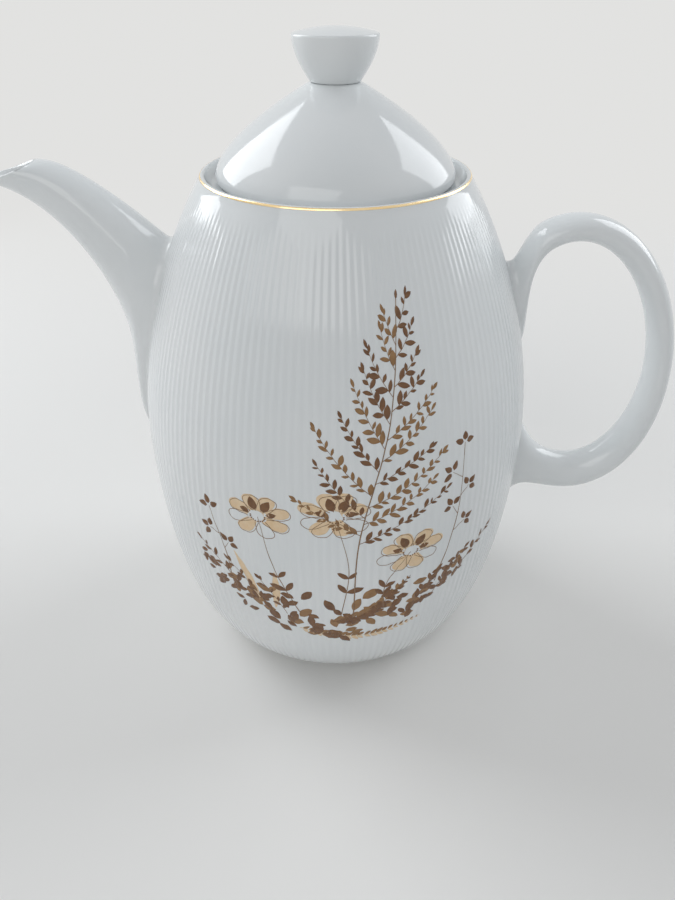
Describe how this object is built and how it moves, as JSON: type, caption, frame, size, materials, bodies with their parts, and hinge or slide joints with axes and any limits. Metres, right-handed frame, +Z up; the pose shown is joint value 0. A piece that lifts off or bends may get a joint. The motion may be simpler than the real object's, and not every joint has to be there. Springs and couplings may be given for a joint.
{
  "type": "coffee pot",
  "caption": "Porcelain coffee pot with an egg-shaped ribbed body, a curved spout, a loop handle and a loose bell-shaped lid with a knob.",
  "frame": {"origin": "halfway between the spout's tip and the handle's far side, on the plane that the foot ring stands on; the body's own axis is at X = -5.3 mm", "axes": "+Z up, parallel to the body's axis; -X towards the spout, +X towards the handle"},
  "size_m": [0.2281, 0.1346, 0.2118],
  "materials": {
    "pot_glaze": "cool white porcelain, clear gloss glaze",
    "lid_glaze": "cool white porcelain, clear gloss glaze",
    "print": "brown and tan floral transfer print under gloss",
    "gilt": "thin fired gold line"
  },
  "bodies": {
    "pot": {"pot_body": "pot_glaze", "spout": "pot_glaze", "handle": "pot_glaze"},
    "lid": {"lid": "lid_glaze", "lid_knob": "lid_glaze", "lid_lug": "lid_glaze"}
  },
  "joints": [
    {"name": "lid_lift", "type": "slide", "parent": "pot", "child": "lid", "axis": [0, 0, 1], "range_m": [0, 0.06]}
  ]
}
